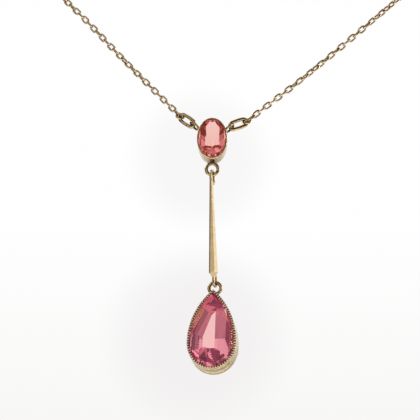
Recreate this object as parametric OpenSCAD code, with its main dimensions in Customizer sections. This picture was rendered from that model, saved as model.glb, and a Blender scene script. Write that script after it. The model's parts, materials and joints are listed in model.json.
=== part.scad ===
/* [Oval setting] */
// Width of the oval rim across its outside
oval_w = 5.3; // [5:0.1:5.8]
// Height of the oval rim across its outside
oval_h = 7.4; // [7:0.1:7.8]
// Depth of the oval collet from its rim to its open back
oval_depth = 4.1; // [3.8:0.1:4.6]
// Turn of the oval setting about the vertical
oval_turn = 5; // [0:1:8]
// Angle of the left flank ring above the horizontal
left_ring_angle = 43; // [38:1:46]
// Angle of the right flank ring above the horizontal
right_ring_angle = 39; // [35:1:43]
// How far the centre of the left flank ring stands out from the rim
left_ring_out = 1.2; // [1.1:0.05:1.3]
// How far the centre of the right flank ring stands out from the rim
right_ring_out = 0.8; // [0.75:0.05:0.9]

/* [Pear setting] */
// Width of the pear rim across its outside
pear_w = 8.6; // [8:0.1:9.2]
// Length of the pear rim from tip to foot
pear_h = 14.1; // [13.4:0.1:15]
// Height of the widest line above the foot
pear_foot_h = 4.7; // [4.4:0.1:5]
// Depth of the pear collet from its rim to its open back
pear_depth = 4.7; // [4.4:0.1:5.2]

/* [Knife-edge bar] */
// Length of the tapered part of the bar
bar_len = 16; // [12:0.1:20]
// Width across the side edges at the top shoulder
bar_top_w = 0.7; // [0.6:0.05:1]
// Width across the side edges at the bottom shoulder
bar_foot_w = 1.7; // [1.3:0.05:2]
// Turn of the bar about its own length
bar_turn = 28; // [20:1:35]

/* [Rings and links] */
// Wire radius of the hinge rings
hinge_wire = 0.3; // [0.25:0.01:0.32]
// Centre-line radius of the hinge rings
hinge_ring = 1.02; // [1:0.01:1.1]
// Wire radius of the eyes of the bar
link_wire = 0.25; // [0.22:0.01:0.26]
// Wire radius of the flank rings
flank_wire = 0.2; // [0.18:0.01:0.2]
// Wire radius of the side links
side_wire = 0.3; // [0.27:0.01:0.3]
// Outside length of a side link
side_link_len = 3.8; // [3.2:0.1:4]
// Outside width of a side link
side_link_w = 2; // [2:0.1:2.2]
// Free space between linked wires
play = 0.12; // [0.1:0.01:0.13]

/* [Chain] */
// Diameter over the links of the chain
chain_d = 1.25; // [1:0.05:1.4]
// Distance of the oval setting in front of the nape
reach = 112.5; // [112.5:0.1:112.7]
// Height of the oval setting below the nape
fall = 75.5; // [75.5:0.1:75.7]

/* [Hang] */
// Rise of the left side link towards the chain
left_rise = 37; // [35:1:40]
// Rise of the right side link towards the chain
right_rise = 22; // [20:1:25]
// Lean of the bar about the upper hinge
bar_lean = -1.3; // [-2:0.1:2]
// Lean of the pear setting about the lower hinge
pear_lean = 3.3; // [0:0.1:4]

/* [Hidden] */
$fn = 48;

GOLD = [0.72, 0.58, 0.36];
CHAIN_GOLD = [0.58, 0.45, 0.34];
STONE = [0.82, 0.38, 0.42];

// Where the settings lie about the plane of the chain: rims in front, hinge plane a little behind
oval_rim_y = -2.2;
hinge_y = 0.3;
pear_rim_y = -2.7;
// The flank rings and the hinge ring stand on short solder feet that end inside the wall
flank_ring = 0.9;
flank_roll = 8;
hinge_drop = 4.9;
hinge_x = -0.26;
foot_r = 0.3;
foot_root = 0.3;
// The eyes of the bar: bend radius and straight part of each loop, and how they are turned
eye_top_r = 0.88;
eye_top_straight = 0.5;
eye_foot_r = 0.75;
eye_foot_straight = 0.6;
eye_turn = -12;
// The blade hangs in line with the front of both eyes, and narrows to a neck at each end
bar_front = 0.82;
bar_neck = 0.34;
neck_half = 0.28;
// The small rings at the ends of the chain, tilted between their neighbours
end_ring = 0.66;
end_wire = 0.19;
end_tilt = 42;
sweep_back = 16;
// The side links face forward and a little down. The right one is drawn up in its flank ring
side_tilt = 15;
left_lift = 0.02;
right_lift = 0.2;
// The clasp at the nape
bolt_r = 2.6;
bolt_wire = 0.45;
loop_r = 0.75;
loop_wire = 0.2;
tag_r = 1.35;
tag_wire = 0.25;
// Number of sides round the settings, the stones, the links and their wire
OVAL_SIDES = 48;
PEAR_LONG_SIDES = 16;
PEAR_FOOT_SIDES = 24;
OVAL_STONE_SIDES = 16;
PEAR_STONE_LONG = 4;
PEAR_STONE_FOOT = 8;
LINK_SIDES = 16;
WIRE_SIDES = 6;
TUBE_SIDES = 8;
TUBE_STEPS = 3;

// Columns of the section tables of the two collets
DEPTH = 0;
INSET = 1;

// Oval collet, walked round its wall from the crest of the rim
oval_section = [
    [0.00, 0.14],
    [0.08, 0.03],
    [0.20, 0.00],
    [0.70, 0.00],
    [0.80, 0.06],
    [oval_depth, 0.12],
    [oval_depth, 0.52],
    [1.10, 0.44],
    [0.85, 0.17],
    [0.40, 0.17],
    [0.34, 0.26],
    [0.06, 0.23]
];

// Pear collet, the same way round, with a groove under the rim and another half way down the wall
pear_section = [
    [0.00, 0.24],
    [0.08, 0.06],
    [0.25, 0.00],
    [0.70, 0.00],
    [0.84, 0.14],
    [1.00, 0.14],
    [1.10, 0.05],
    [2.85, 0.05],
    [2.95, 0.16],
    [3.10, 0.16],
    [3.20, 0.05],
    [pear_depth, 0.05],
    [pear_depth, 0.50],
    [1.40, 0.62],
    [1.10, 0.30],
    [0.55, 0.30],
    [0.46, 0.42],
    [0.10, 0.40]
];

// Columns of the stones' tables: depth behind the rim, and share of the girdle's size across and along
ACROSS = 1;
ALONG = 2;
oval_girdle = 0.22;
oval_cut = [
    [-0.40, 0.60, 0.60],
    [0.05, 0.84, 0.84],
    [0.50, 1.00, 1.00],
    [0.62, 1.00, 1.00],
    [1.60, 0.72, 0.72],
    [2.50, 0.40, 0.40],
    [3.10, 0.08, 0.08]
];
pear_girdle = 0.35;
pear_cut = [
    [-0.45, 0.66, 0.66],
    [0.10, 0.86, 0.86],
    [0.62, 1.00, 1.00],
    [0.76, 1.00, 1.00],
    [2.00, 0.78, 0.78],
    [3.20, 0.48, 0.48],
    [4.10, 0.12, 0.20]
];

// Route of each half of the chain from its end ring round the neck to the clasp, measured from the nape
right_route = [
    [16, -108, -62.5],
    [27, -104.5, -52],
    [38, -98.5, -40.5],
    [48, -88.5, -29.5],
    [55, -74.5, -20.5],
    [58, -58, -13.5],
    [56, -41, -8.5],
    [49.5, -25, -4.5],
    [37.5, -12.5, -2],
    [22.5, -4, -0.5],
    [9.5, -0.5, 0]
];
left_route = [
    [-16, -108, -59],
    [-25, -105, -48.5],
    [-36, -99.5, -36.5],
    [-46.5, -89.5, -26],
    [-54, -75.5, -17.5],
    [-57.5, -58.5, -11.5],
    [-56, -41.5, -7],
    [-49.5, -25, -4],
    [-37.5, -12.5, -2],
    [-22.5, -4, -0.5],
    [-9.5, -0.5, 0]
];

// Centres worked out from the sizes above
oval_centre = [0, -reach, -fall];
hinge_top = oval_centre + [hinge_x, hinge_y, -hinge_drop];
eye_top_z = -(hinge_ring + eye_top_r - hinge_wire - link_wire - play);
bar_head = eye_top_z - eye_top_r;
bar_shoulder = bar_head - bar_neck;
bar_foot = bar_shoulder - bar_len;
bar_tip = bar_foot - bar_neck * 3;
eye_foot_z = bar_tip - eye_foot_r;
hinge_low_z = eye_foot_z - eye_foot_r + link_wire + hinge_wire + play - hinge_ring;
pear_tip_z = -hinge_ring + 0.22;
pear_tip_h = pear_h - pear_foot_h;
pear_arc = (pear_tip_h * pear_tip_h + pear_w * pear_w / 4) / pear_w;

// Unit vector that rises by one angle and heads another way round the vertical
function outward(rise, heading) = [cos(rise) * cos(heading), cos(rise) * sin(heading), sin(rise)];
function unit(v) = v / norm(v);

// Distance of the oval rim from its middle in a direction
function rim_reach(angle) = 1 / norm([cos(angle) * 2 / oval_w, sin(angle) * 2 / oval_h]);

// Places a point of the oval setting, given from the middle of its rim and turned with the setting
function turned(p) = oval_centre + [
    p.x * cos(oval_turn) - p.y * sin(oval_turn),
    oval_rim_y + p.x * sin(oval_turn) + p.y * cos(oval_turn),
    p.z
];

left_heading = 180 - sweep_back;
right_heading = sweep_back;
side_step = flank_ring - play * 2 - flank_wire - side_wire + side_link_len / 2 - side_wire;
end_step = side_link_len / 2 - side_wire + end_ring - play - side_wire - end_wire;
left_reach = rim_reach(left_ring_angle) + left_ring_out;
right_reach = rim_reach(right_ring_angle) + right_ring_out;
left_flank = turned([-left_reach * cos(left_ring_angle), -oval_rim_y, left_reach * sin(left_ring_angle)]);
right_flank = turned([right_reach * cos(right_ring_angle), -oval_rim_y,
    right_reach * sin(right_ring_angle)]);
left_link = left_flank + side_step * outward(left_rise, left_heading) + [0, 0, left_lift];
right_link = right_flank + side_step * outward(right_rise, right_heading) + [0, 0, right_lift];
left_end = left_link + end_step * outward(left_rise, left_heading);
right_end = right_link + end_step * outward(right_rise, right_heading);
tube_gap = end_ring + end_wire + play;
left_start = left_end + tube_gap * unit(left_route[0] - left_end);
right_start = right_end + tube_gap * unit(right_route[0] - right_end);
tag_x = -(bolt_r - bolt_wire - tag_wire - play + tag_r);
loop_x = bolt_r + bolt_wire + loop_r + loop_wire;
left_stop = [tag_x - tag_r - tag_wire - play, 0, 0];
right_stop = [loop_x + loop_r + loop_wire + play, 0, 0];

// Outline of the oval rim, set in by a given amount, in X and Z
function oval_outline(inset, sides) = [
    for (i = [0 : sides - 1])
    let (turn = 360 * i / sides)
    [(oval_w / 2 - inset) * cos(turn), (oval_h / 2 - inset) * sin(turn)]
];

// Outline of the pear rim about its widest line: two long arcs that meet at the tip, and a half oval
function pear_outline(inset, long_sides, foot_sides) =
    let (
        long_r = pear_arc - inset,
        centre = pear_arc - pear_w / 2,
        tip = acos(centre / long_r)
    )
    concat(
        [for (i = [0 : long_sides - 1]) let (turn = tip * i / long_sides)
            [long_r * cos(turn) - centre, long_r * sin(turn)]],
        [for (i = [0 : long_sides - 1]) let (turn = tip * (1 - i / long_sides))
            [centre - long_r * cos(turn), long_r * sin(turn)]],
        [for (i = [0 : foot_sides - 1]) let (turn = 180 + 180 * i / foot_sides)
            [(pear_w / 2 - inset) * cos(turn), (pear_foot_h - inset) * sin(turn)]]
    );

// An outline in X and Z, placed at a depth along Y
function at_depth(outline, y) = [for (p = outline) [p.x, y, p.y]];

// A point on the smooth curve between b and c, with a and d as the neighbours
function curve(a, b, c, d, t) = 0.5 * ((2 * b) + (c - a) * t
    + (2 * a - 5 * b + 4 * c - d) * t * t + (3 * b - a - 3 * c + d) * t * t * t);

// Points along a route at even steps between its own points, its ends carried straight on
function along(route) =
    let (
        last = len(route) - 1,
        all = concat([2 * route[0] - route[1]], route, [2 * route[last] - route[last - 1]])
    )
    concat(
        [for (i = [0 : last - 1]) for (k = [0 : TUBE_STEPS - 1])
            curve(all[i], all[i + 1], all[i + 2], all[i + 3], k / TUBE_STEPS)],
        [route[last]]
    );

// A ring of points of a tube round one place on its centre line
function tube_ring(centre, way, r, sides) =
    let (
        side = unit(cross(way, [0, 0, 1])),
        up = cross(side, way)
    )
    [for (i = [0 : sides - 1]) let (turn = 360 * i / sides)
        centre + r * (cos(turn) * side + sin(turn) * up)];

// Side faces between rings of n points, two triangles each
function side_faces(rings, n, closed) = [
    for (j = [0 : rings - (closed ? 1 : 2)])
    for (i = [0 : n - 1])
    let (
        k = (j + 1) % rings,
        l = (i + 1) % n
    )
    each [[j * n + i, j * n + l, k * n + l], [j * n + i, k * n + l, k * n + i]]
];

// A skin through rings whose last joins the first
module closed_skin(rings) {
    polyhedron(points = [for (r = rings) each r], faces = side_faces(len(rings), len(rings[0]), true));
}

// A skin through rings with a flat cap at each end
module capped_skin(rings) {
    n = len(rings[0]);
    last = (len(rings) - 1) * n;
    first_cap = [for (i = [1 : n]) n - i];
    last_cap = [for (i = [0 : n - 1]) last + i];
    polyhedron(
        points = [for (r = rings) each r],
        faces = concat([first_cap], side_faces(len(rings), n, false), [last_cap])
    );
}

// A round ring of round wire about Z
module wire_ring(r, wire) {
    rotate_extrude() translate([r, 0]) circle(r = wire);
}

// An oval link of round wire in the XZ plane, its length along X
module oval_link(length, width, wire) {
    half_long = length / 2 - wire;
    half_wide = width / 2 - wire;
    straight = half_long - half_wide;
    closed_skin([
        for (i = [0 : LINK_SIDES - 1])
        let (
            turn = 360 * (i + 0.5) / LINK_SIDES,
            end = [cos(turn) > 0 ? straight : -straight, 0, 0],
            ray = [cos(turn), 0, sin(turn)]
        )
        [for (k = [0 : WIRE_SIDES - 1]) let (spin = 360 * k / WIRE_SIDES)
            end + (half_wide + wire * cos(spin)) * ray - [0, wire * sin(spin), 0]]
    ]);
}

// A tube along one half of the chain's route
module chain_tube(route) {
    line = along(route);
    last = len(line) - 1;
    capped_skin([
        for (i = [0 : last])
        tube_ring(line[i], unit(line[min(i + 1, last)] - line[max(i - 1, 0)]), chain_d / 2, TUBE_SIDES)
    ]);
}

// Puts a child's X axis along a rising direction, rolled about it
module pointing(place, rise, heading, roll) {
    translate(place) rotate([0, -rise, heading]) rotate([roll, 0, 0]) children();
}

// The frame of the oval setting: the middle of its rim as the origin
module from_oval_rim() {
    translate(turned([0, 0, 0])) rotate([0, 0, oval_turn]) children();
}

// A flank ring standing out of the collet along X, with a solder foot that is rooted in the wall
module flank_ring_on_foot(reach, wall, roll) {
    translate([reach, 0, 0]) rotate([roll, 0, 0]) wire_ring(flank_ring, flank_wire);
    translate([wall - foot_root, 0, 0]) rotate([0, 90, 0])
        cylinder(r = foot_r, h = reach - flank_ring - wall + foot_root);
}

module oval_collet() {
    color(GOLD) {
        from_oval_rim() {
            closed_skin([
                for (row = oval_section)
                at_depth(oval_outline(row[INSET], OVAL_SIDES), row[DEPTH])
            ]);
            translate([0, -oval_rim_y, 0]) {
                rotate([0, -right_ring_angle, 0])
                    flank_ring_on_foot(right_reach, rim_reach(right_ring_angle), -flank_roll);
                rotate([0, left_ring_angle - 180, 0])
                    flank_ring_on_foot(left_reach, rim_reach(left_ring_angle), flank_roll);
            }
        }
        translate(hinge_top) {
            rotate([90, 0, 0]) wire_ring(hinge_ring, hinge_wire);
            translate([0, 0, hinge_ring]) cylinder(r = foot_r, h = 0.65);
        }
    }
}

module oval_stone() {
    girdle = oval_outline(oval_girdle, OVAL_STONE_SIDES);
    color(STONE)
    from_oval_rim()
    capped_skin([
        for (row = oval_cut)
        at_depth([for (p = girdle) [p.x * row[ACROSS], p.y * row[ALONG]]], row[DEPTH])
    ]);
}

module side_link() {
    color(GOLD) oval_link(side_link_len, side_link_w, side_wire);
}

module side_link_left() {
    pointing(left_link, left_rise, left_heading, -side_tilt) side_link();
}

module side_link_right() {
    pointing(right_link, right_rise, right_heading, side_tilt) side_link();
}

module small_ring() {
    color(GOLD) wire_ring(end_ring, end_wire);
}

module end_ring_left() {
    pointing(left_end, left_rise, left_heading, -end_tilt) small_ring();
}

module end_ring_right() {
    pointing(right_end, right_rise, right_heading, end_tilt) small_ring();
}

module chain_left() {
    color(CHAIN_GOLD) chain_tube(concat([left_start], left_route, [left_stop]));
}

module chain_right() {
    color(CHAIN_GOLD) chain_tube(concat([right_start], right_route, [right_stop]));
}

// The ring of the clasp, with the loop that holds the right end of the chain
module bolt_ring() {
    color(GOLD) {
        rotate([90, 0, 0]) wire_ring(bolt_r, bolt_wire);
        translate([bolt_r, 0, 0]) rotate([0, 90, 0]) cylinder(r = foot_r, h = bolt_wire + loop_wire * 2);
        translate([loop_x, 0, 0]) wire_ring(loop_r, loop_wire);
    }
}

// The ring on the left end of the chain that hangs in the bolt ring
module tag_ring() {
    color(GOLD) translate([tag_x, 0, 0]) wire_ring(tag_r, tag_wire);
}

// Columns of the bar's table: height, half width across the side edges, half depth of the ridge
module bar_body() {
    bar_rows = [
        [eye_top_z - eye_top_straight, neck_half, neck_half],
        [bar_head, neck_half, neck_half],
        [bar_shoulder, bar_top_w / 2, bar_top_w * 0.45],
        [bar_foot, bar_foot_w / 2, bar_foot_w * 0.41],
        [bar_tip, neck_half, neck_half],
        [eye_foot_z, neck_half, neck_half]
    ];
    capped_skin([
        for (row = bar_rows)
        [[row[1], 0, row[0]], [0, row[2], row[0]], [-row[1], 0, row[0]], [0, -row[2], row[0]]]
    ]);
}

// An eye of the bar: an upright loop of wire in the YZ plane, centred half way along its straights
module bar_eye(r, straight) {
    rotate([0, -90, 90])
        oval_link(straight + (r + link_wire) * 2, (r + link_wire) * 2, link_wire);
}

module bar() {
    color(GOLD)
    translate(hinge_top) rotate([0, bar_lean, 0]) rotate([0, 0, eye_turn]) {
        translate([0, -bar_front, 0]) rotate([0, 0, bar_turn - eye_turn]) bar_body();
        translate([0, 0, eye_top_z - eye_top_straight / 2]) bar_eye(eye_top_r, eye_top_straight);
        translate([0, 0, eye_foot_z + eye_foot_straight / 2]) bar_eye(eye_foot_r, eye_foot_straight);
    }
}

// The frame of the pear setting: its lower hinge's centre as the origin
module from_low_hinge() {
    translate(hinge_top) rotate([0, bar_lean, 0]) translate([0, 0, hinge_low_z])
        rotate([0, pear_lean, 0]) children();
}

module pear_collet() {
    color(GOLD)
    from_low_hinge() {
        translate([0, 0, pear_tip_z - pear_tip_h])
        closed_skin([
            for (row = pear_section)
            at_depth(pear_outline(row[INSET], PEAR_LONG_SIDES, PEAR_FOOT_SIDES),
                pear_rim_y + row[DEPTH])
        ]);
        rotate([90, 0, 0]) wire_ring(hinge_ring, hinge_wire);
    }
}

module pear_stone() {
    girdle = pear_outline(pear_girdle, PEAR_STONE_LONG, PEAR_STONE_FOOT);
    color(STONE)
    from_low_hinge()
    translate([0, 0, pear_tip_z - pear_tip_h])
    capped_skin([
        for (row = pear_cut)
        at_depth([for (p = girdle) [p.x * row[ACROSS], p.y * row[ALONG]]], pear_rim_y + row[DEPTH])
    ]);
}

oval_collet();
oval_stone();
side_link_left();
side_link_right();
end_ring_left();
end_ring_right();
chain_left();
chain_right();
bolt_ring();
tag_ring();
bar();
pear_collet();
pear_stone();
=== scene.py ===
import json
from math import acos, cos, hypot, pi, radians, sin, sqrt

import bmesh
import bpy
from mathutils import Matrix, Vector


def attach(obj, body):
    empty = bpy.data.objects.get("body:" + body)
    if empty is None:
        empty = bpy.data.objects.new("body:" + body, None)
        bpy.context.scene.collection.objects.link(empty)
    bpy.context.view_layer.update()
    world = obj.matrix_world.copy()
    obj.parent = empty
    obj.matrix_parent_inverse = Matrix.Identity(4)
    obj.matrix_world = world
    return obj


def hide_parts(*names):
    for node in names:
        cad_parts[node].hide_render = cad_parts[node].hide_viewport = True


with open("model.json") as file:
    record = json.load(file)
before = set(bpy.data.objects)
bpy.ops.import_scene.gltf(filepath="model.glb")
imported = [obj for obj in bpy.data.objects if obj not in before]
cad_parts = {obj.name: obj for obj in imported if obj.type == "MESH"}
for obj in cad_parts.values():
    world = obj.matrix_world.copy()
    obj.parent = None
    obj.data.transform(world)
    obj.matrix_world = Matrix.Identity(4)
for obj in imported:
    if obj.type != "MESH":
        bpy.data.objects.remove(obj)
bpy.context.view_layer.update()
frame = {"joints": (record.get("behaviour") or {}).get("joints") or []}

# Oval setting: a nearly straight gold collet, open at the back, its thin rim rubbed over the stone.
# The flank rings and the hinge ring under it are drawn wire, soldered on over small feet.
MM = 0.001  # sizes are in millimetres while a piece is on the bench, and it ends in metres
ACROSS, ALONG_Y, UP = Vector((1, 0, 0)), Vector((0, 1, 0)), Vector((0, 0, 1))
oval_centre = Vector((0, -112.5, -75.5))
oval_w, oval_h = 5.3, 7.4
oval_rim = oval_centre + Vector((0, -2.2, 0))
oval_depth, oval_turn = 4.1, 5
hinge_r, hinge_wire = 1.02, 0.3
hinge_foot_len, hinge_foot_r = 0.6, 0.3
flank_r, flank_wire, flank_rolls = 0.9, 0.2, {"left": 8, "right": -8}
flank_foot_r, flank_foot_sunk = 0.26, 0.3
flank_angles, flank_out = {"left": 180 - 43, "right": 39}, {"left": 1.2, "right": 0.8}
hinges = {joint["name"]: Vector(joint["pos_m"]) / MM for joint in frame["joints"]}
DOUBLES = 0.0005  # corners closer than this are one corner
worn_angle = 28

# Section of the oval collet from the crest of its rim, round the outside and back up the inside
DEPTH, INSET = 0, 1
oval_section = [
    (0.00, 0.15), (0.03, 0.07), (0.10, 0.02), (0.20, 0.00), (0.66, 0.00), (0.74, 0.06),
    (0.84, 0.07), (2.40, 0.09), (oval_depth - 0.08, 0.12), (oval_depth, 0.18),
    (oval_depth, 0.46), (oval_depth - 0.08, 0.52), (1.10, 0.44), (0.85, 0.17), (0.40, 0.17),
    (0.34, 0.26), (0.08, 0.25), (0.02, 0.21),
]


def clear_bench():
    """Leaves nothing selected, so that the next operators touch the new piece alone."""
    bpy.ops.object.select_all(action="DESELECT")


def take_up(name):
    """Names the primitive just added, puts its place into its mesh and opens it for shaping."""
    piece = bpy.context.object
    piece.name = piece.data.name = name
    bpy.ops.object.transform_apply(location=True, rotation=True, scale=True)
    bpy.ops.object.mode_set(mode="EDIT")
    bpy.ops.mesh.select_all(action="SELECT")


def pick(wanted):
    """Selects the corners of the open piece that pass a test."""
    bpy.ops.mesh.select_mode(type="VERT")
    bpy.ops.mesh.select_all(action="DESELECT")
    shape = bmesh.from_edit_mesh(bpy.context.object.data)
    for corner in shape.verts:
        if wanted(corner):
            corner.select_set(True)
    bmesh.update_edit_mesh(bpy.context.object.data)


def put_down(rounding=0, smooth=35):
    """Closes the open piece: doubles merged, faces outwards, edges rounded and shaded smooth."""
    bpy.ops.mesh.select_all(action="SELECT")
    bpy.ops.mesh.remove_doubles(threshold=DOUBLES)
    bpy.ops.mesh.normals_make_consistent(inside=False)
    bpy.ops.object.mode_set(mode="OBJECT")
    piece = bpy.context.object
    if rounding:
        worn = piece.modifiers.new("worn_edges", "BEVEL")
        worn.width, worn.segments, worn.limit_method = rounding, 2, "ANGLE"
        worn.angle_limit = radians(worn_angle)
        bpy.ops.object.modifier_apply(modifier=worn.name)
    bpy.ops.object.shade_smooth_by_angle(angle=radians(smooth))
    return piece


def facing(way):
    """Turn that points a flat primitive's face along a direction."""
    return Vector(way).to_track_quat("Z", "Y").to_euler()


def draw_wall(section, reach, middle):
    """Walks the open outline round a collet's section, one extrusion a row, and closes the ring.
    reach(inset) gives the half width, the height above and the depth below the middle."""
    for last, row in zip(section, section[1:]):
        bpy.ops.mesh.extrude_region_move(
            TRANSFORM_OT_translate={"value": (0, row[DEPTH] - last[DEPTH], 0)})
        wide, above, below = (new / old for new, old in zip(reach(row[INSET]), reach(last[INSET])))
        bpy.ops.transform.resize(value=(wide, 1, above), center_override=middle)
        if abs(below - above) > 1e-6:
            shape = bmesh.from_edit_mesh(bpy.context.object.data)
            loop = {corner for corner in shape.verts if corner.select}
            for corner in loop:
                corner.select_set(corner.co.z < middle.z - 1e-4)
            bpy.ops.transform.resize(value=(1, 1, below / above), center_override=middle)
            for corner in loop:
                corner.select_set(True)
            shape.select_flush(True)
    bpy.ops.mesh.select_mode(type="EDGE")
    bpy.ops.mesh.select_all(action="DESELECT")
    bpy.ops.mesh.select_non_manifold()
    bpy.ops.mesh.bridge_edge_loops()


def wire_ring(name, centre, radius, wire, axis, seam, steps=32, sides=12):
    """A ring of round wire: the wire's section at the seam, spun once round the ring's axis."""
    clear_bench()
    axis, seam = Vector(axis).normalized(), Vector(seam).normalized()
    bpy.ops.mesh.primitive_circle_add(
        vertices=sides, radius=wire, location=centre + seam * radius,
        rotation=facing(axis.cross(seam)))
    take_up(name)
    bpy.ops.mesh.spin(steps=steps, angle=2 * pi, center=centre, axis=axis)
    pick(lambda corner: True)
    bpy.ops.mesh.remove_doubles(threshold=DOUBLES)
    # The solder leaves the wire a little fuller at the seam
    near_seam, fuller = 0.93, 1.06
    pick(lambda corner: (corner.co - centre).normalized().dot(seam) > near_seam)
    bpy.ops.transform.resize(value=(fuller,) * 3, center_override=centre + seam * radius)
    return put_down(smooth=80)


def solder_foot(name, start, end, radius):
    """A short foot of solder between two pieces, waisted in the middle and flared at both ends."""
    clear_bench()
    start, end = Vector(start), Vector(end)
    flares = [1.45, 1.12, 0.98, 1.0, 1.2, 1.5]
    steps = len(flares) - 1
    bpy.ops.mesh.primitive_circle_add(
        vertices=16, radius=radius * flares[0], fill_type="NGON", location=start,
        rotation=facing(end - start))
    take_up(name)
    for k, (last, flare) in enumerate(zip(flares, flares[1:])):
        place = start.lerp(end, (k + 1) / steps)
        bpy.ops.mesh.extrude_region_move(TRANSFORM_OT_translate={"value": (end - start) / steps})
        bpy.ops.transform.resize(value=(flare / last,) * 3, center_override=place)
    return put_down(smooth=80)


def turned_about(pivot, turn):
    """The turn, made about a point of the bench."""
    return Matrix.Translation(pivot) @ turn @ Matrix.Translation(-pivot)


def solder_up(name, pieces):
    """Joins soldered pieces into one object."""
    clear_bench()
    for piece in pieces:
        piece.select_set(True)
    bpy.context.view_layer.objects.active = pieces[0]
    if len(pieces) > 1:
        bpy.ops.object.join()
    piece = bpy.context.object
    piece.name = piece.data.name = name
    return piece


def hand_over(piece, finish, body, slot, *nodes):
    """Brings a finished piece to metres and hands it to the frame in its finish."""
    clear_bench()
    piece.select_set(True)
    bpy.context.view_layer.objects.active = piece
    piece.scale = (MM,) * 3
    bpy.ops.object.transform_apply(location=True, rotation=True, scale=True)
    piece.data.materials.clear()
    piece.data.materials.append(finish)
    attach(piece, body)
    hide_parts(*nodes)


def add_node(tree, kind, settings=None, **sockets):
    """A shader node with its settings and its unlinked sockets set by name."""
    made = tree.nodes.new(kind)
    for name, value in (settings or {}).items():
        setattr(made, name, value)
    for name, value in sockets.items():
        made.inputs[name.replace("_", " ")].default_value = value
    return made


def gold_finish(name, bright, worn, tarnish_and_shade, roughness, stretch=(1, 1, 1), grain=0.25,
                dented=0.5, grime_and_shade=(0.4, 0.92), crevice=0.0007):
    """Old polished gold: hair scratches, uneven wear, and patina where a cloth can't reach, darkened
    further by painted shade. The closeness range says how closed in a spot is where it is dark and
    where it is clean, and crevice how far off, in metres, another surface still closes it in."""
    finish = bpy.data.materials.new(name)
    finish.use_nodes = True
    tree = finish.node_tree
    join = tree.links.new
    surface = tree.nodes["Principled BSDF"]
    surface.inputs["Metallic"].default_value = 1.0
    place = add_node(tree, "ShaderNodeTexCoord")
    along = add_node(tree, "ShaderNodeMapping", Scale=stretch)
    cloud = add_node(tree, "ShaderNodeTexNoise", Scale=900, Detail=3, Roughness=0.6)
    scratch = add_node(tree, "ShaderNodeTexNoise", Scale=9000, Detail=4, Roughness=0.7)
    join(place.outputs["Object"], along.inputs["Vector"])
    join(place.outputs["Object"], cloud.inputs["Vector"])
    join(along.outputs["Vector"], scratch.inputs["Vector"])
    wear = add_node(tree, "ShaderNodeMix", {"data_type": "RGBA"})
    wear.inputs["A"].default_value = (*bright, 1)
    wear.inputs["B"].default_value = (*worn, 1)
    spread = add_node(tree, "ShaderNodeMapRange", From_Min=0.38, From_Max=0.64)
    join(cloud.outputs["Fac"], spread.inputs["Value"])
    join(spread.outputs["Result"], wear.inputs["Factor"])
    # Where other surfaces are near, the colour darkens: patina in the hollows and painted shade
    # between parts
    recess = add_node(tree, "ShaderNodeAmbientOcclusion", {"samples": 8}, Distance=crevice)
    reach = add_node(tree, "ShaderNodeMapRange", From_Min=grime_and_shade[0], From_Max=grime_and_shade[1])
    join(recess.outputs["AO"], reach.inputs["Value"])
    colour = add_node(tree, "ShaderNodeMix", {"data_type": "RGBA"})
    colour.inputs["A"].default_value = (*tarnish_and_shade, 1)
    join(reach.outputs["Result"], colour.inputs["Factor"])
    join(wear.outputs["Result"], colour.inputs["B"])
    join(colour.outputs["Result"], surface.inputs["Base Color"])
    matte = add_node(tree, "ShaderNodeMapRange", To_Min=roughness * 0.7, To_Max=roughness * 1.4)
    join(scratch.outputs["Fac"], matte.inputs["Value"])
    join(matte.outputs["Result"], surface.inputs["Roughness"])
    knock = add_node(tree, "ShaderNodeTexNoise", Scale=1500, Detail=2, Roughness=0.55)
    join(place.outputs["Object"], knock.inputs["Vector"])
    dents = add_node(tree, "ShaderNodeBump", Strength=dented, Distance=0.0003)
    join(knock.outputs["Fac"], dents.inputs["Height"])
    relief = add_node(tree, "ShaderNodeBump", Strength=grain, Distance=0.00002)
    join(scratch.outputs["Fac"], relief.inputs["Height"])
    join(dents.outputs["Normal"], relief.inputs["Normal"])
    join(relief.outputs["Normal"], surface.inputs["Normal"])
    return finish


polished_gold = gold_finish(
    "polished_gold", bright=(0.80, 0.64, 0.37), worn=(0.60, 0.45, 0.22), tarnish_and_shade=(0.13, 0.075, 0.04),
    roughness=0.15, crevice=0.004)


def oval_reach(inset):
    """Half width, height above and depth below the middle of the oval outline, set in by so much."""
    return oval_w / 2 - inset, oval_h / 2 - inset, oval_h / 2 - inset


def flank_spot(side):
    """Way out to a flank ring, how far out the rim lies on it, and the ring's centre."""
    angle = radians(flank_angles[side])
    way = Vector((cos(angle), 0, sin(angle)))
    rim = 1 / hypot(way.x * 2 / oval_w, way.z * 2 / oval_h)
    return way, rim, oval_centre + way * (rim + flank_out[side])


clear_bench()
bpy.ops.mesh.primitive_circle_add(vertices=64, radius=1, location=oval_rim, rotation=facing(ALONG_Y))
take_up("oval_wall")
half_w, half_h, _ = oval_reach(oval_section[0][INSET])
bpy.ops.transform.resize(value=(half_w, 1, half_h), center_override=oval_rim)
draw_wall(oval_section, oval_reach, oval_rim)
oval_parts = [put_down(rounding=0.03)]
for side in ("left", "right"):
    way, rim, ring_place = flank_spot(side)
    roll = Matrix.Rotation(radians(flank_rolls[side]), 3, way)
    oval_parts.append(wire_ring("flank_ring_" + side, ring_place, flank_r, flank_wire,
                                roll @ way.cross(ALONG_Y), -way))
    foot_top = ring_place - way * (flank_r - flank_wire * 0.4)
    foot_end = oval_centre + way * (rim - flank_foot_sunk)
    oval_parts.append(solder_foot("flank_foot_" + side, foot_top, foot_end, flank_foot_r))
setting_turn = turned_about(oval_rim, Matrix.Rotation(radians(oval_turn), 4, "Z"))
for part in oval_parts:
    part.data.transform(setting_turn)
hinge_top = hinges["bar_swing"]
oval_parts.append(wire_ring("hinge_ring", hinge_top, hinge_r, hinge_wire, ALONG_Y, UP, steps=36))
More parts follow.
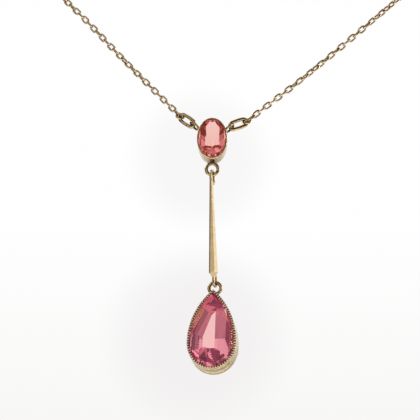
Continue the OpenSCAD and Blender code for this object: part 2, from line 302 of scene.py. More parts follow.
ring_top = hinge_top + UP * (hinge_r - hinge_wire * 0.3)
oval_parts.append(solder_foot("hinge_foot", ring_top, ring_top + UP * hinge_foot_len, hinge_foot_r))
oval_setting = solder_up("oval_setting", oval_parts)
hand_over(oval_setting, polished_gold, "centre", "gold", "oval_collet")

# Oval stone: a pink-red gem with a broad table, a crown of eight flats and stepped flats behind.
# It is ground flat by flat on the wheel, sits on the ledge inside the collet, and its flat keel
# shows the light through the open back.
oval_gem_inset = 0.22
oval_table, oval_crown_foot, oval_girdle, oval_keel = -0.15, 0.50, 0.62, 3.1
blank_front, oval_blank_back = -1.0, 3.6

# Flats of the oval stone: azimuth from the right, tilt from the table, and where a point of the flat
# lies, as a share of the way out to the girdle and as a depth behind the rim
oval_crown = [
    *((azimuth, 60, 1, oval_crown_foot) for azimuth in (0, 40, 90, 140, 180)),
    *((azimuth, 52, 1, oval_crown_foot) for azimuth in (220, 270, 320)),
]
oval_pavilion = [
    (0, 62, 1, oval_girdle), (180, 62, 1, oval_girdle),
    (0, 56, 0.82, 1.43), (180, 55, 0.83, 1.40), (0, 30, 0.50, 2.6), (180, 28, 0.45, 2.6),
    (50, 60, 1, oval_girdle), (130, 60, 1, oval_girdle), (90, 60, 1, oval_girdle),
    (90, 31, 0.89, 1.28), (62, 36, 0.80, 1.6), (118, 36, 0.80, 1.6),
    (28, 52, 0.64, 2.2), (152, 52, 0.60, 2.2),
    (-35, 58, 1, oval_girdle), (-60, 55, 1, oval_girdle), (-90, 52, 1, oval_girdle),
    (-120, 55, 1, oval_girdle), (-145, 58, 1, oval_girdle),
    *((azimuth, 41, 0.60, 2.2) for azimuth in (-50, -75, -105, -130)),
]


def grind_flat(middle, azimuth, tilt, reach, depth, back):
    """Grinds one flat. It crosses the given depth at the given reach from the stone's middle."""
    way = Vector((cos(radians(azimuth)), 0, sin(radians(azimuth))))
    lean = ALONG_Y if back else -ALONG_Y
    bpy.ops.mesh.select_all(action="SELECT")
    bpy.ops.mesh.bisect(
        plane_co=middle + way * reach + ALONG_Y * depth,
        plane_no=way * sin(radians(tilt)) + lean * cos(radians(tilt)),
        use_fill=True, clear_outer=True, threshold=1e-5)


def cut_stone(name, middle, crown, pavilion, table, keel):
    """Cuts the open blank into a stone: the flats in front and behind, the table and the keel."""
    for flats, back in ((crown, False), (pavilion, True)):
        for azimuth, tilt, reach, depth in flats:
            grind_flat(middle, azimuth, tilt, reach, depth, back)
    grind_flat(middle, 0, 0, 0, table, False)
    grind_flat(middle, 0, 0, 0, keel, True)
    bpy.ops.mesh.select_all(action="SELECT")
    bpy.ops.mesh.remove_doubles(threshold=0.002)
    bpy.ops.mesh.normals_make_consistent(inside=False)
    bpy.ops.object.mode_set(mode="OBJECT")
    bpy.ops.object.shade_flat()
    stone = bpy.context.object
    stone.name = stone.data.name = name
    return stone


def gem_finish(name, tint, body, density, painted_glow):
    """Clear pink-red stone: colour deepens with the way through it, with faint clouds and rubs."""
    finish = bpy.data.materials.new(name)
    finish.use_nodes = True
    tree = finish.node_tree
    join = tree.links.new
    surface = tree.nodes["Principled BSDF"]
    surface.inputs["Transmission Weight"].default_value = 1.0
    surface.inputs["IOR"].default_value = 1.62
    # A faint painted emission in a deep colour stands in for the light caught between the flats
    surface.inputs["Emission Color"].default_value = (*painted_glow, 1)
    surface.inputs["Emission Strength"].default_value = 0.055
    place = add_node(tree, "ShaderNodeTexCoord")
    cloud = add_node(tree, "ShaderNodeTexNoise", Scale=420, Detail=3)
    join(place.outputs["Object"], cloud.inputs["Vector"])
    shade = add_node(tree, "ShaderNodeMix", {"data_type": "RGBA"})
    shade.inputs["A"].default_value = (*tint, 1)
    shade.inputs["B"].default_value = (*(0.94 * part for part in tint), 1)
    join(cloud.outputs["Fac"], shade.inputs["Factor"])
    join(shade.outputs["Result"], surface.inputs["Base Color"])
    rub = add_node(tree, "ShaderNodeTexNoise", Scale=5200, Detail=2)
    join(place.outputs["Object"], rub.inputs["Vector"])
    polish = add_node(
        tree, "ShaderNodeMapRange", From_Min=0.6, From_Max=0.8, To_Min=0.0, To_Max=0.05)
    join(rub.outputs["Fac"], polish.inputs["Value"])
    join(polish.outputs["Result"], surface.inputs["Roughness"])
    depth = add_node(tree, "ShaderNodeVolumeAbsorption", Color=(*body, 1), Density=density)
    join(depth.outputs["Volume"], tree.nodes["Material Output"].inputs["Volume"])
    return finish


def oval_support(turn):
    """How far the oval girdle reaches in a direction."""
    half_w, half_h, _ = oval_reach(oval_gem_inset)
    return sqrt((half_w * cos(turn)) ** 2 + (half_h * sin(turn)) ** 2)


def oval_flats(flats):
    """Flats of the oval stone, with their shares of the way to the girdle as millimetres."""
    return [(azimuth, tilt, oval_support(radians(azimuth)) * share, depth)
            for azimuth, tilt, share, depth in flats]


clear_bench()
blank_middle = oval_rim + ALONG_Y * blank_front
bpy.ops.mesh.primitive_circle_add(
    vertices=64, radius=1, fill_type="NGON", location=blank_middle, rotation=facing(ALONG_Y))
take_up("oval_blank")
half_w, half_h, _ = oval_reach(oval_gem_inset)
bpy.ops.transform.resize(value=(half_w, 1, half_h), center_override=blank_middle)
bpy.ops.mesh.extrude_region_move(
    TRANSFORM_OT_translate={"value": (0, oval_blank_back - blank_front, 0)})
oval_gem = cut_stone(
    "oval_gem", oval_rim, oval_flats(oval_crown), oval_flats(oval_pavilion), oval_table, oval_keel)
oval_colour = gem_finish(
    "oval_stone_colour", tint=(0.93, 0.76, 0.77), body=(0.98, 0.22, 0.15), density=95,
    painted_glow=(0.80, 0.14, 0.10))
oval_gem.data.transform(setting_turn)
hand_over(oval_gem, oval_colour, "centre", "oval_stone", "oval_stone")

# Side links: two long oval links of round wire that join the flank rings to the chain.
# Each is bent round a former and soldered shut, and rests tilted between its neighbours. The right
# one is drawn up in its flank ring.
side_long, side_wide, side_wire, side_bow = 3.8, 1.85, 0.31, 0.05
side_lifts = {"left": 0.02, "right": 0.2}
sweep_back, side_tilt = 16, 15
play = 0.12
side_step = flank_r - play * 2 - flank_wire - side_wire + side_long / 2 - side_wire
end_r, end_wire, end_tilt = 0.66, 0.19, 42
end_step = side_long / 2 - side_wire + end_r - play - side_wire - end_wire
rises = {"left": 37, "right": 22}
headings = {"left": 180 - sweep_back, "right": sweep_back}
roll_signs = {"left": -1, "right": 1}


def outward(side):
    """Direction in which the links of one side run on from the oval setting."""
    rise, heading = radians(rises[side]), radians(headings[side])
    return Vector((cos(rise) * cos(heading), cos(rise) * sin(heading), sin(rise)))


def link_place(side):
    """Centre of the side link of one side, out from its flank ring on the turned setting."""
    return setting_turn @ flank_spot(side)[2] + outward(side) * side_step + UP * side_lifts[side]


def pointed(side, place, roll):
    """Turns a piece that lies along X to run outwards on one side, rolled about its length."""
    heading = Matrix.Rotation(radians(headings[side]), 4, "Z")
    rise = Matrix.Rotation(radians(-rises[side]), 4, "Y")
    own_roll = Matrix.Rotation(radians(roll * roll_signs[side]), 4, "X")
    return Matrix.Translation(place) @ heading @ rise @ own_roll


def bent_link(name, length, width, wire, bend_steps, sides, bow=0):
    """An oval link of round wire along X: a side, a half turn, a side and a half turn.
    A bow lets both sides swell outwards a little."""
    clear_bench()
    side_steps = 4 if bow else 1
    bend_r = width / 2 - wire
    straight = length / 2 - width / 2
    bpy.ops.mesh.primitive_circle_add(
        vertices=sides, radius=wire, location=(-straight, 0, bend_r), rotation=facing(ACROSS))
    take_up(name)
    for way in (1, -1):
        for k in range(side_steps):
            swell = bow * (sin(pi * (k + 1) / side_steps) - sin(pi * k / side_steps))
            bpy.ops.mesh.extrude_region_move(
                TRANSFORM_OT_translate={"value": (way * straight * 2 / side_steps, 0, way * swell)})
        bpy.ops.mesh.spin(steps=bend_steps, angle=pi, center=(way * straight, 0, 0), axis=-ALONG_Y)
    return put_down(smooth=80)


for side in ("left", "right"):
    side_link = bent_link("side_oval_" + side, side_long, side_wide, side_wire,
                          bend_steps=12, sides=12, bow=side_bow)
    side_link.data.transform(pointed(side, link_place(side), side_tilt))
    hand_over(side_link, polished_gold, "centre", "gold", "side_link_" + side)

# End rings: the small rings of thinner wire that join the side links to the chain.
# They are twisted open with pliers and closed again, and so stand a little askew.
end_places = {side: link_place(side) + outward(side) * end_step for side in rises}
for side, place in end_places.items():
    end_ring = wire_ring(
        "jump_ring_" + side, Vector((0, 0, 0)), end_r, end_wire, UP, -ALONG_Y, steps=24, sides=10)
    end_ring.data.transform(pointed(side, place, end_tilt))
    hand_over(end_ring, polished_gold, "centre", "gold", "end_ring_" + side)

# Trace chain: small oval links of rosy drawn wire, each a quarter turn from the last one.
# One link is bent and soldered, and copied along each half of the loop up to the clasp.
trace_long, trace_wide, trace_wire, trace_pitch = 1.96, 1.14, 0.172, 1.265
routes = {
    "right": [
        (16, -108, -62.5), (27, -104.5, -52), (38, -98.5, -40.5), (48, -88.5, -29.5),
        (55, -74.5, -20.5), (58, -58, -13.5), (56, -41, -8.5), (49.5, -25, -4.5),
        (37.5, -12.5, -2), (22.5, -4, -0.5), (9.5, -0.5, 0),
    ],
    "left": [
        (-16, -108, -59), (-25, -105, -48.5), (-36, -99.5, -36.5), (-46.5, -89.5, -26),
        (-54, -75.5, -17.5), (-57.5, -58.5, -11.5), (-56, -41.5, -7), (-49.5, -25, -4),
        (-37.5, -12.5, -2), (-22.5, -4, -0.5), (-9.5, -0.5, 0),
    ],
}
bolt_r, bolt_wire, loop_r, loop_wire, tag_r, tag_wire = 2.6, 0.45, 0.75, 0.2, 1.35, 0.25
tag_place = Vector((-(bolt_r - bolt_wire - tag_wire - play + tag_r), 0, 0))
loop_place = Vector((bolt_r + bolt_wire + loop_r + loop_wire, 0, 0))
clasp_eyes = {"left": (tag_place, tag_r, tag_wire), "right": (loop_place, loop_r, loop_wire)}
CURVE_STEPS = 24
chain_quiver, chain_twist, twist_pace = 6, 17, 0.43
# How the skin under the chain slopes away from the neck, for the way the links lie on it
neck_y, shoulder_slope, chest_slope = -55, 0.4, -14


def smooth_route(corners):
    """Points at short steps on the smooth curve through the corners of a route."""
    spots = [2 * corners[0] - corners[1], *corners, 2 * corners[-1] - corners[-2]]
    line = []
    for a, b, c, d in zip(spots, spots[1:], spots[2:], spots[3:]):
        for k in range(CURVE_STEPS):
            t = k / CURVE_STEPS
            line.append(0.5 * (2 * b + (c - a) * t + (2 * a - 5 * b + 4 * c - d) * t * t
                               + (3 * b - a - 3 * c + d) * t ** 3))
    return [*line, corners[-1]]


def spread_evenly(line, count):
    """That many places at equal distances along a line, its two ends among them."""
    lengths = [0.0]
    for a, b in zip(line, line[1:]):
        lengths.append(lengths[-1] + (b - a).length)
    places = []
    k = 0
    for i in range(count):
        wanted = lengths[-1] * i / (count - 1)
        while k < len(line) - 2 and lengths[k + 1] < wanted:
            k += 1
        share = (wanted - lengths[k]) / (lengths[k + 1] - lengths[k])
        places.append(line[k].lerp(line[k + 1], share))
    return places, lengths[-1]


def link_turn(place, way, roll):
    """Puts a link at a place along the chain. With no roll it lies flat on the skin."""
    fore = Vector((place.x * shoulder_slope, place.y - neck_y, chest_slope))
    wide = way.cross(fore).normalized()
    face = wide.cross(way)
    frame_turn = Matrix((way, face, wide)).transposed().to_4x4()
    return Matrix.Translation(place) @ frame_turn @ Matrix.Rotation(roll, 4, "X")


chain_gold = gold_finish(
    "chain_gold", bright=(0.98, 0.80, 0.53), worn=(0.76, 0.58, 0.37), tarnish_and_shade=(0.13, 0.075, 0.035),
    roughness=0.2, grime_and_shade=(0.2, 0.75))
trace_link = bent_link("trace_link", trace_long, trace_wide, trace_wire, bend_steps=5, sides=5)
eye_hold = trace_long / 2 - trace_wire + 0.03
for side in ("left", "right"):
    corners = [Vector(corner) for corner in routes[side]]
    eye, eye_r, eye_wire = clasp_eyes[side]
    chain_way = (corners[0] - end_places[side]).normalized()
    start = end_places[side] + chain_way * (end_r - end_wire - trace_wire * 2 + eye_hold)
    eye_way = Vector((-1 if side == "left" else 1, 0, 0))
    stop = eye + eye_way * (eye_r - eye_wire - trace_wire * 2 + eye_hold)
    line = smooth_route([start, *corners, stop])
    # An odd number of links, so that the first and the last one stand the same way
    _, length = spread_evenly(line, 2)
    count = 2 * round(length / trace_pitch / 2) + 1
    places, _ = spread_evenly(line, count)
    links = []
    for k, place in enumerate(places):
        ahead, behind = places[min(k + 1, count - 1)], places[max(k - 1, 0)]
        way = (ahead - behind).normalized()
        quarter = radians(90) if k % 2 == 0 else 0
        # The chain twists slowly along its length, and each link lolls a little in the last one
        twist = chain_twist * (1 - cos((k - 4) * twist_pace))
        sway = radians(chain_quiver * sin(k * 1.7) + twist)
        link = trace_link.copy()
        link.data = trace_link.data.copy()
        link.data.transform(link_turn(place, way, quarter + sway))
        bpy.context.scene.collection.objects.link(link)
        links.append(link)
    trace = solder_up("trace_chain_" + side, links)
    hand_over(trace, chain_gold, "centre", "chain_gold", "chain_" + side)
bpy.data.objects.remove(trace_link)

# Clasp at the nape: a plain ring with a small loop soldered on, and the ring that hangs in it.
# Both are round gold wire, and hold the two ends of the chain.
clasp_foot_r = 0.24
clasp_ring = wire_ring("clasp_ring", Vector((0, 0, 0)), bolt_r, bolt_wire, ALONG_Y, ACROSS, steps=40)
clasp_loop = wire_ring("clasp_loop", loop_place, loop_r, loop_wire, UP, -ACROSS, steps=24, sides=10)
clasp_foot = solder_foot("clasp_foot", (bolt_r + bolt_wire * 0.8, 0, 0),
                         (bolt_r + bolt_wire + loop_wire * 1.2, 0, 0), clasp_foot_r)
clasp = solder_up("clasp", [clasp_ring, clasp_loop, clasp_foot])
hand_over(clasp, chain_gold, "centre", "chain_gold", "bolt_ring")
tag = wire_ring("clasp_tag", tag_place, tag_r, tag_wire, UP, -ALONG_Y, sides=10)
hand_over(tag, chain_gold, "centre", "chain_gold", "tag_ring")

# Knife-edge bar: filed from a gold strip to a long taper, with sharp side edges, a ridge in front
# and a narrow flat along the left edge. Its faces keep the fine lengthwise grain of the file, and
# its wire ends are bent over into eyes.
bar_lean, bar_turn, eye_turn = -1.3, 22, -12
bar_top_w, bar_foot_w, bar_len, bar_neck, bar_point = 0.7, 1.7, 16.25, 0.34, 0.77
ridge_top, ridge_foot = 0.45, 0.41
bar_front, stub_half, head_half, point_half, bar_wire = 0.82, 0.18, 0.24, 0.28, 0.25
flat_w, flat_draw_in = 0.22, (0.12, 0.17, 0)
eye_top_r, eye_top_straight = 0.88, 0.5
eye_foot_r, eye_foot_straight = 0.75, 0.6
eye_top_z = -(hinge_r + eye_top_r - hinge_wire - bar_wire - play)
bar_head = eye_top_z - eye_top_r
bar_shoulder = bar_head - bar_neck
bar_foot = bar_shoulder - bar_len
bar_tip = bar_foot - bar_point
eye_foot_z = bar_tip - eye_foot_r

# Height below the hinge, half width across the side edges, half depth of the ridge
bar_rows = [
    (eye_top_z - eye_top_straight, stub_half, stub_half),
    (bar_head, head_half, head_half),
    (bar_shoulder, bar_top_w / 2, bar_top_w * ridge_top),
    (bar_foot, bar_foot_w / 2, bar_foot_w * ridge_foot),
    (bar_tip, point_half, point_half),
    (eye_foot_z, stub_half, stub_half),
]


def leaned(piece, pivot, angle):
    """Lets a piece hang a little to one side about a hinge."""
    piece.data.transform(turned_about(pivot, Matrix.Rotation(radians(angle), 4, "Y")))


clear_bench()
blade_line = hinge_top - ALONG_Y * bar_front
first_z, first_w, _ = bar_rows[0]
bpy.ops.mesh.primitive_circle_add(
    vertices=4, radius=first_w, fill_type="NGON", location=blade_line + UP * first_z)
take_up("bar_blade")
for (last_z, last_w, last_d), (z, w, d) in zip(bar_rows, bar_rows[1:]):
    bpy.ops.mesh.extrude_region_move(TRANSFORM_OT_translate={"value": (0, 0, z - last_z)})
    bpy.ops.transform.resize(value=(w / last_w, d / last_d, 1), center_override=blade_line + UP * z)
# A narrow flat is filed along the left edge, the same width from shoulder to foot, and slopes back
edge_way = Vector((bar_top_w / 2 - bar_foot_w / 2, 0, -bar_len))
flat_start = blade_line + Vector((flat_w - bar_top_w / 2, 0, bar_shoulder))
bpy.ops.mesh.select_all(action="SELECT")
bpy.ops.mesh.bisect(plane_co=flat_start, plane_no=ALONG_Y.cross(edge_way).normalized(),
                    threshold=1e-5)
below_foot, above_shoulder = hinge_top.z + bar_foot - 0.1, hinge_top.z + bar_shoulder + 0.1
pick(lambda corner: abs(corner.co.y - blade_line.y) < 0.01
     and corner.co.x < blade_line.x - stub_half and below_foot < corner.co.z < above_shoulder)
bpy.ops.transform.translate(value=flat_draw_in)
blade = put_down(rounding=0.05, smooth=10)
blade.data.transform(turned_about(blade_line, Matrix.Rotation(radians(bar_turn - eye_turn), 4, "Z")))
bar_parts = [blade]
for name, radius, straight, z in (
        ("bar_eye_top", eye_top_r, eye_top_straight, eye_top_z - eye_top_straight / 2),
        ("bar_eye_foot", eye_foot_r, eye_foot_straight, eye_foot_z + eye_foot_straight / 2)):
    width = (radius + bar_wire) * 2
    eye = bent_link(name, straight + width, width, bar_wire, bend_steps=14, sides=12)
    upright = Matrix.Rotation(radians(90), 4, "Z") @ Matrix.Rotation(radians(-90), 4, "Y")
    eye.data.transform(Matrix.Translation(hinge_top + UP * z) @ upright)
    bar_parts.append(eye)
knife_bar = solder_up("knife_edge_bar", bar_parts)
knife_bar.data.transform(turned_about(hinge_top, Matrix.Rotation(radians(eye_turn), 4, "Z")))
leaned(knife_bar, hinge_top, bar_lean)
brushed_gold = gold_finish(
    "brushed_gold", bright=(0.84, 0.67, 0.41), worn=(0.74, 0.57, 0.33), tarnish_and_shade=(0.13, 0.085, 0.03),
    roughness=0.26, stretch=(1, 1, 0.05), grain=0.06, dented=0.02)
hand_over(knife_bar, brushed_gold, "bar", "brushed_gold", "bar")

# Pear setting: a deep gold collet with a groove under its rim and another half way down the wall.
# It is open at the back, its rim is rubbed over the stone, and the ring at its tip carries it.
pear_w, pear_h, pear_foot_h, pear_depth = 8.6, 14.1, 4.7, 4.7
pear_lean, pear_front, tip_in_ring = 2.0, 2.7, 0.22
hinge_low = hinges["drop_swing"]
pear_tip_h = pear_h - pear_foot_h
pear_rim = hinge_low + Vector((0, -pear_front, tip_in_ring - hinge_r - pear_tip_h))
pear_arc = (pear_tip_h ** 2 + pear_w ** 2 / 4) / pear_w
arc_middle = pear_arc - pear_w / 2
LONG_STEPS, FOOT_STEPS = 26, 36

# Section of the pear collet, rows of depth and inset like those of the oval one
pear_section = [
    (0.16, 0.27), (0.13, 0.14), (0.16, 0.06), (0.28, 0.03), (0.66, 0.03), (0.75, 0.07),
    (0.84, 0.14), (1.00, 0.14), (1.08, 0.07), (1.20, 0.05), (2.82, 0.05), (2.90, 0.09),
    (2.97, 0.16), (3.08, 0.16), (3.16, 0.09), (3.24, 0.05), (pear_depth - 0.10, 0.05),
    (pear_depth, 0.11), (pear_depth, 0.44), (pear_depth - 0.10, 0.50), (1.40, 0.62),
    (1.10, 0.30), (0.55, 0.30), (0.46, 0.42), (0.22, 0.40), (0.17, 0.34),
]


def pear_reach(inset):
    """Half width, height above and depth below the widest line of the pear, set in by so much."""
    return pear_w / 2 - inset, sqrt((pear_arc - inset) ** 2 - arc_middle ** 2), pear_foot_h - inset


def draw_pear(name, inset, middle):
    """Draws the pear outline: up one long arc to the tip, down the other and round the foot."""
    clear_bench()
    half_w, above, below = pear_reach(inset)
    tip_turn = acos(arc_middle / (pear_arc - inset))
    bpy.ops.mesh.primitive_plane_add(size=1, location=middle + ACROSS * half_w)
    take_up(name)
    bpy.ops.mesh.merge(type="CENTER")
    right, left = middle - ACROSS * arc_middle, middle + ACROSS * arc_middle
    bpy.ops.mesh.spin(steps=LONG_STEPS, angle=tip_turn, center=right, axis=ALONG_Y)
    bpy.ops.mesh.spin(steps=LONG_STEPS, angle=tip_turn, center=left, axis=ALONG_Y)
    bpy.ops.mesh.spin(steps=FOOT_STEPS, angle=pi, center=middle, axis=ALONG_Y)
    pick(lambda corner: corner.co.z < middle.z - 1e-4)
    bpy.ops.transform.resize(value=(1, 1, below / half_w), center_override=middle)
    bpy.ops.mesh.select_all(action="SELECT")
    bpy.ops.mesh.remove_doubles(threshold=DOUBLES)
    bpy.ops.mesh.select_all(action="SELECT")


draw_pear("pear_wall", pear_section[0][INSET], pear_rim + ALONG_Y * pear_section[0][DEPTH])
draw_wall(pear_section, pear_reach, pear_rim)
pear_wall = put_down(rounding=0.03)
pear_ring = wire_ring("pear_ring", hinge_low, hinge_r, hinge_wire, ALONG_Y, -UP, steps=36)
pear_setting = solder_up("pear_setting", [pear_wall, pear_ring])
leaned(pear_setting, hinge_low, pear_lean)
hand_over(pear_setting, polished_gold, "drop", "gold", "pear_collet")

# Beads of the pear rim: the edge of the wall, rolled with a knurled wheel into one row of grains.
# Each is longer across the rim than along it, bright on top, with patina and painted shade between.
bead_r, bead_long, bead_count, bead_inset, bead_proud = 0.15, 1.55, 76, 0.27, 0.02
pear_line = []
half_w, _, below = pear_reach(bead_inset)
bead_arc = pear_arc - bead_inset
tip_turn = acos(arc_middle / bead_arc)
for k in range(LONG_STEPS * 4 + 1):
    turn = tip_turn * (1 - k / LONG_STEPS / 4)
    pear_line.append(bead_arc * Vector((cos(turn), 0, sin(turn))) - ACROSS * arc_middle)
foot_line = []
for k in range(1, FOOT_STEPS * 2 + 1):
    turn = -pi * k / (FOOT_STEPS * 4)
    foot_line.append(Vector((half_w * cos(turn), 0, below * sin(turn))))
right_half, _ = spread_evenly(pear_line + foot_line, bead_count // 2 + 1)
bead_places = right_half + [Vector((-place.x, 0, place.z)) for place in right_half[1:-1]]

clear_bench()
bpy.ops.mesh.primitive_uv_sphere_add(
    segments=8, ring_count=6, radius=bead_r, rotation=facing(-ALONG_Y))
take_up("bead")
bpy.ops.transform.resize(value=(bead_long, 1, 1), center_override=(0, 0, 0))
# The bead is cut flat where it joins the rim, and rubbed flatter and broader on top
bead_foot, bead_top = bead_r * 0.7, -bead_r * 0.75
bpy.ops.mesh.bisect(plane_co=(0, bead_foot, 0), plane_no=ALONG_Y, use_fill=True, clear_outer=True,
                    threshold=1e-5)
pick(lambda corner: corner.co.y < bead_top)
bpy.ops.transform.resize(value=(1.25, 0.8, 1.25), center_override=(0, bead_top, 0))
bead = put_down(smooth=80)
grains = []
for k, place in enumerate(bead_places):
    along = (bead_places[(k + 1) % len(bead_places)] - bead_places[k - 1]).normalized()
    across = ALONG_Y.cross(along)
    grain_bead = bead.copy()
    grain_bead.data = bead.data.copy()
    # No two beads come out quite the same size
    size = 1 + 0.05 * sin(k * 2.3) + 0.03 * sin(k * 5.1)
    spot = pear_rim + place - ALONG_Y * bead_proud
    set_square = Matrix((across, ALONG_Y, along)).transposed().to_4x4()
    grain_bead.data.transform(Matrix.Translation(spot) @ set_square @ Matrix.Scale(size, 4))
    bpy.context.scene.collection.objects.link(grain_bead)
    grains.append(grain_bead)
bpy.data.objects.remove(bead)
rim_beads = solder_up("rim_beads", grains)
leaned(rim_beads, hinge_low, pear_lean)
bead_gold = gold_finish(
    "bead_gold", bright=(0.96, 0.84, 0.66), worn=(0.84, 0.66, 0.48), tarnish_and_shade=(0.30, 0.18, 0.10),
    roughness=0.34, grain=0.1, dented=0.1, grime_and_shade=(0.3, 0.7))
hand_over(rim_beads, bead_gold, "drop", "gold", "pear_collet")

# Pear stone: a pink-red gem with a broad table, long side flats and a narrow flat keel, ground like
# the oval one. The keel lies off centre, and the light through the open back makes it a bright band.
pear_gem_inset = 0.35
pear_table, pear_crown_foot, pear_girdle, pear_keel = -0.15, 0.62, 0.76, 4.1
pear_blank_back = 4.5

# Flats of the pear stone: azimuth from the right, tilt from the table, and a point of the flat, its
# reach in millimetres (None at the girdle) and its depth behind the rim
pear_crown = [
    (azimuth, tilt, None, pear_crown_foot) for azimuth, tilt in (
        (0, 56), (22, 56), (42, 56), (-28, 56), (-58, 46), (-90, 46),
        (180, 56), (158, 33), (138, 33), (208, 56), (238, 46))
]
pear_pavilion = [
    (180, 62, 3.95, pear_girdle), (180, 57, 2.97, 2.3),
    (0, 52, 3.95, pear_girdle), (0, 38.5, 3.24, 1.82), (0, 34.5, 0.30, pear_keel),
    (135, 56, 6.33, pear_girdle), (160, 56, None, pear_girdle),
    (45, 76, 6.33, pear_girdle), (22, 64, None, pear_girdle),
    (-90, 52, 4.35, pear_girdle), (-90, 38, 2.9, 2.2),
    (-62, 54, None, pear_girdle), (-118, 54, None, pear_girdle),
    (-32, 57, None, pear_girdle), (-148, 57, None, pear_girdle),
    (-70, 37, 2.9, 2.3), (-110, 40, 2.9, 2.3),
]


def pear_support(turn):
    """How far the pear girdle reaches in a direction."""
    half_w, above, below = pear_reach(pear_gem_inset)
    if sin(turn) < 0:
        return sqrt((half_w * cos(turn)) ** 2 + (below * sin(turn)) ** 2)
    tip_turn = acos(arc_middle / (pear_arc - pear_gem_inset))
    if abs(cos(turn)) < cos(tip_turn):
        return above * sin(turn)
    return pear_arc - pear_gem_inset - arc_middle * abs(cos(turn))


def pear_flats(flats):
    """Flats of the pear stone, with the girdle's own reach where the list has none."""
    return [(azimuth, tilt, reach or pear_support(radians(azimuth)), depth)
            for azimuth, tilt, reach, depth in flats]


draw_pear("pear_blank", pear_gem_inset, pear_rim + ALONG_Y * blank_front)
bpy.ops.mesh.edge_face_add()
bpy.ops.mesh.extrude_region_move(
    TRANSFORM_OT_translate={"value": (0, pear_blank_back - blank_front, 0)})
pear_gem = cut_stone(
    "pear_gem", pear_rim, pear_flats(pear_crown), pear_flats(pear_pavilion), pear_table, pear_keel)
leaned(pear_gem, hinge_low, pear_lean)
pear_colour = gem_finish(
    "pear_stone_colour", tint=(0.90, 0.72, 0.70), body=(0.96, 0.15, 0.36), density=62,
    painted_glow=(0.76, 0.11, 0.27))
hand_over(pear_gem, pear_colour, "drop", "pear_stone", "pear_stone")

# Studio: a pale floor well below the hanging piece, soft lamps, and the photograph's camera.
# The camera looks up a little from the right, from far off, and the backdrop is near white.
view_azimuth, view_rise = radians(6), radians(-16)
lens_distance, picture_w = 0.9, 0.0724
aim = oval_centre * MM + Vector((-0.0006, 0, -0.0123))
floor_z = -0.9

clear_bench()
bpy.ops.mesh.primitive_plane_add(size=3, location=(0, 0, floor_z))
floor = bpy.context.object
floor.name = "floor"
pale_paper = bpy.data.materials.new("pale_paper")
pale_paper.use_nodes = True
paper_tree = pale_paper.node_tree
fleck = add_node(paper_tree, "ShaderNodeTexNoise", Scale=40, Detail=6)
pale = add_node(paper_tree, "ShaderNodeMix", {"data_type": "RGBA"})
pale.inputs["A"].default_value = (0.80, 0.79, 0.77, 1)
pale.inputs["B"].default_value = (0.86, 0.85, 0.83, 1)
paper_tree.links.new(fleck.outputs["Fac"], pale.inputs["Factor"])
# Through the stones the floor counts as the dim room
ray = add_node(paper_tree, "ShaderNodeLightPath")
dim = add_node(paper_tree, "ShaderNodeMix", {"data_type": "RGBA"})
dim.inputs["B"].default_value = (0.36, 0.20, 0.20, 1)
paper_tree.links.new(ray.outputs["Is Transmission Ray"], dim.inputs["Factor"])
paper_tree.links.new(pale.outputs["Result"], dim.inputs["A"])
paper_tree.links.new(dim.outputs["Result"], paper_tree.nodes["Principled BSDF"].inputs["Base Color"])
paper_tree.nodes["Principled BSDF"].inputs["Roughness"].default_value = 0.8
floor.data.materials.append(pale_paper)


def soft_lamp(name, place, size, power, colour):
    """A square soft box that faces the piece."""
    light = bpy.data.lights.new(name, "AREA")
    light.size, light.energy, light.color = size, power, colour
    lamp = bpy.data.objects.new(name, light)
    lamp.location = aim + Vector(place)
    lamp.rotation_euler = (-Vector(place)).to_track_quat("-Z", "Y").to_euler()
    lamp.visible_camera = False
    bpy.context.scene.collection.objects.link(lamp)
    return lamp


soft_lamp("key_lamp", (0.95, 0.1, 0.3), size=0.35, power=2.0, colour=(1.0, 0.98, 0.95))
soft_lamp("fill_lamp", (-0.7, 0.25, 0.65), size=0.4, power=1.5, colour=(0.97, 0.98, 1.0))
# A wide lamp under the piece lights the floor alone
floor_lamp = soft_lamp("floor_lamp", (0, 0, 1), size=4, power=44, colour=(1.0, 0.99, 0.97))
floor_lamp.location = (0, 0, floor_z + 0.4)

room = bpy.data.worlds.new("studio")
bpy.context.scene.world = room
room.use_nodes = True
tree = room.node_tree
join = tree.links.new
place = add_node(tree, "ShaderNodeTexCoord")
split = add_node(tree, "ShaderNodeSeparateXYZ")
join(place.outputs["Generated"], split.inputs["Vector"])


def white_sheet(shares, way, edge, full, strength):
    """Adds a soft round sheet of white paper, in one direction, to the share of white. Edge and
    full are the cosines from its middle at which it starts and is at its strength."""
    toward = add_node(tree, "ShaderNodeVectorMath", {"operation": "DOT_PRODUCT"})
    toward.inputs[1].default_value = Vector(way).normalized()
    join(place.outputs["Generated"], toward.inputs[0])
    sheet = add_node(tree, "ShaderNodeMapRange", {"interpolation_type": "SMOOTHSTEP"},
                     From_Min=edge, From_Max=full, To_Min=0.0, To_Max=strength)
    join(toward.outputs["Value"], sheet.inputs["Value"])
    if shares is None:
        return sheet.outputs["Result"]
    both = add_node(tree, "ShaderNodeMath", {"operation": "MAXIMUM"})
    join(shares, both.inputs[0])
    join(sheet.outputs["Result"], both.inputs[1])
    return both.outputs["Value"]


def blended(share, first, second):
    """Colour between two, by a share. Each is a plain colour or another node's output."""
    mix = add_node(tree, "ShaderNodeMix", {"data_type": "RGBA"})
    join(share, mix.inputs["Factor"])
    for socket, colour in (("A", first), ("B", second)):
        if isinstance(colour, tuple):
            mix.inputs[socket].default_value = (*colour, 1)
        else:
            join(colour, mix.inputs[socket])
    return mix.outputs["Result"]


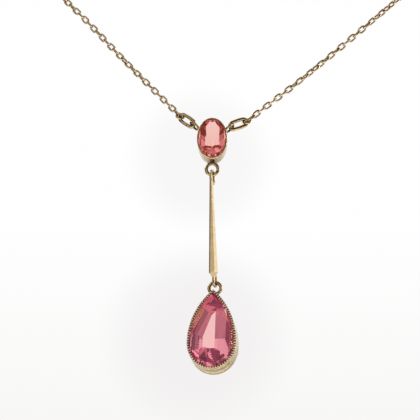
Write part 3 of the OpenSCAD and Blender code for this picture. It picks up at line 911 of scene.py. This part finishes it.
# The metal mirrors a dim warm room with white paper behind and above, at the right, and in front
# at the left
white = white_sheet(None, (-0.15, 0.8, 0.6), 0.42, 0.9, 0.9)
white = white_sheet(white, (0.85, 0.5, 0.2), 0.6, 0.9, 0.8)
white = white_sheet(white, (-0.5, -0.81, 0.28), 0.8, 0.95, 0.62)
mirrored = blended(white, (0.10, 0.07, 0.035), (1.0, 0.98, 0.95))
# Through the stones the light comes from the warm white paper behind, and, where their flats throw
# the view back, from a dim rosy room with three pale sheets in front
front = white_sheet(None, (0.75, -0.6, 0.28), 0.8, 0.96, 1.0)
front = white_sheet(front, (0.12, -0.93, 0.30), 0.96, 0.985, 1.0)
front = white_sheet(front, (-0.48, -0.86, 0.17), 0.945, 0.985, 1.0)
through = blended(front, (0.36, 0.24, 0.25), (0.86, 0.74, 0.77))
paper_behind = white_sheet(None, (0, 1, 0.1), -0.2, 0.6, 1.0)
through = blended(paper_behind, through, (1.0, 0.94, 0.87))
# The camera sees the paper behind, a little darker towards the bottom
height = add_node(tree, "ShaderNodeMapRange", From_Min=0.236, From_Max=0.272)
join(split.outputs["Z"], height.inputs["Value"])
backdrop = blended(height.outputs["Result"], (0.935, 0.93, 0.925), (0.995, 0.995, 0.995))
# A painted shadow on the paper close behind the pear and the oval, where the hanging piece would
# keep a little light off it
pear_way, oval_way = (-0.1036, 0.9624, 0.2522), (-0.1020, 0.9540, 0.2850)
shade = white_sheet(None, pear_way, 0.99980, 0.99999, 0.7)
shade = white_sheet(shade, oval_way, 0.99988, 0.99999, 0.45)
backdrop = blended(shade, backdrop, (0.86, 0.84, 0.84))
path = add_node(tree, "ShaderNodeLightPath")
seen = blended(path.outputs["Is Transmission Ray"], mirrored, through)
seen = blended(path.outputs["Is Camera Ray"], seen, backdrop)
join(seen, tree.nodes["Background"].inputs["Color"])
bpy.context.scene.view_settings.view_transform = "Standard"

camera = bpy.data.objects.new("camera", bpy.data.cameras.new("camera"))
bpy.context.scene.collection.objects.link(camera)
bpy.context.scene.camera = camera
camera.data.lens = camera.data.sensor_width * lens_distance / picture_w
to_camera = Vector((
    sin(view_azimuth) * cos(view_rise), -cos(view_azimuth) * cos(view_rise), sin(view_rise)))
camera.location = aim + to_camera * lens_distance
camera.rotation_euler = (-to_camera).to_track_quat("-Z", "Y").to_euler()
camera.data.clip_start, camera.data.clip_end = 0.01, 20
